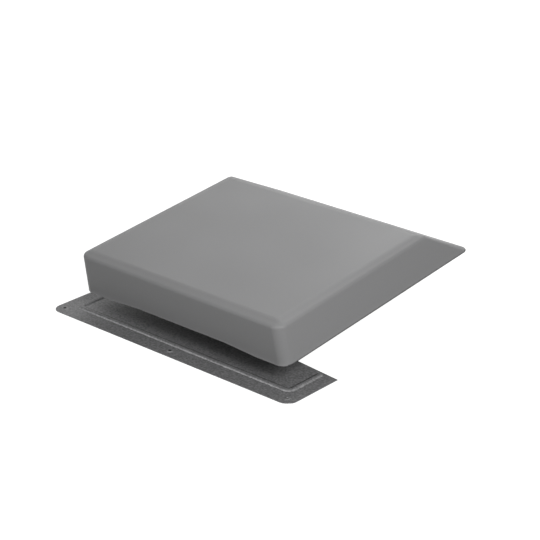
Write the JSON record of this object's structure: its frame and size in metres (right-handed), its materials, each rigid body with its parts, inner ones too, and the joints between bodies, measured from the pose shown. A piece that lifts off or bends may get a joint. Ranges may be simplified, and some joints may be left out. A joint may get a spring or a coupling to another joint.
{
  "type": "roof vent",
  "caption": "Low roof vent: a stamped metal hood with a slanted back carried over a nailed flashing with a screened round throat.",
  "frame": {"origin": "centre of the vent's outline on the roof plane, which is the underside of the flashing", "axes": "+X to the right seen from the eaves side, +Y up the roof from the front apron to the slanted back, +Z away from the roof"},
  "size_m": [0.442, 0.4374, 0.1223],
  "materials": {
    "hood_paint": "satin grey paint, slightly weathered",
    "flashing_paint": "matt dark grey paint with a fine grain",
    "screen_wire": "dull wire mesh",
    "bare_metal": "mill finish sheet",
    "rivet_metal": "satin"
  },
  "bodies": {
    "root": {"hood": "hood_paint", "base_plate": "flashing_paint", "insect_screen": "screen_wire", "screen_ring": "bare_metal", "hood_bracket_front_left": "bare_metal", "hood_bracket_front_right": "bare_metal", "hood_bracket_rear_left": "bare_metal", "hood_bracket_rear_right": "bare_metal", "bracket_rivets": "rivet_metal"}
  },
  "joints": []
}
